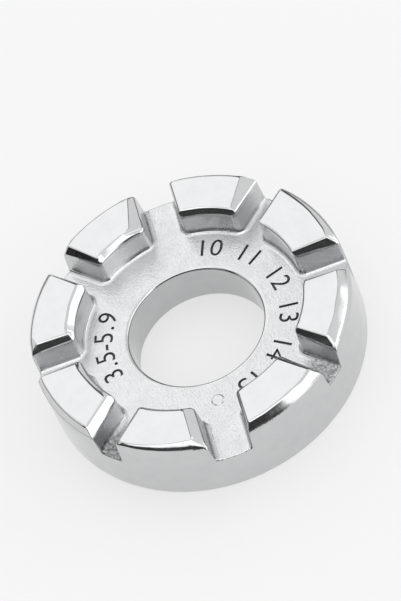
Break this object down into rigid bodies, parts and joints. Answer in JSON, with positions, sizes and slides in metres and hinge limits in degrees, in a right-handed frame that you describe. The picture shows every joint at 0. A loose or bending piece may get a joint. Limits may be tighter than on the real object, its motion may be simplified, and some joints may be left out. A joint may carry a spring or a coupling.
{
  "type": "spoke wrench",
  "caption": "Round chrome-plated spoke wrench: a flat ring with a finger bore and graded open-topped jaws between raised rim lugs.",
  "frame": {"origin": "centre of the ring's flat bottom face, on the bore's axis", "axes": "+Z along the bore from the flat bottom face to the lug tops; the two widest jaws lie on -Y and +Y, and the others every 45 degrees between"},
  "size_m": [0.052, 0.052, 0.0126],
  "materials": {
    "chrome_plate": "bright chrome plate, satin-grained on the web and jaw floors"
  },
  "bodies": {
    "root": {"wrench_body": "chrome_plate"}
  },
  "joints": []
}
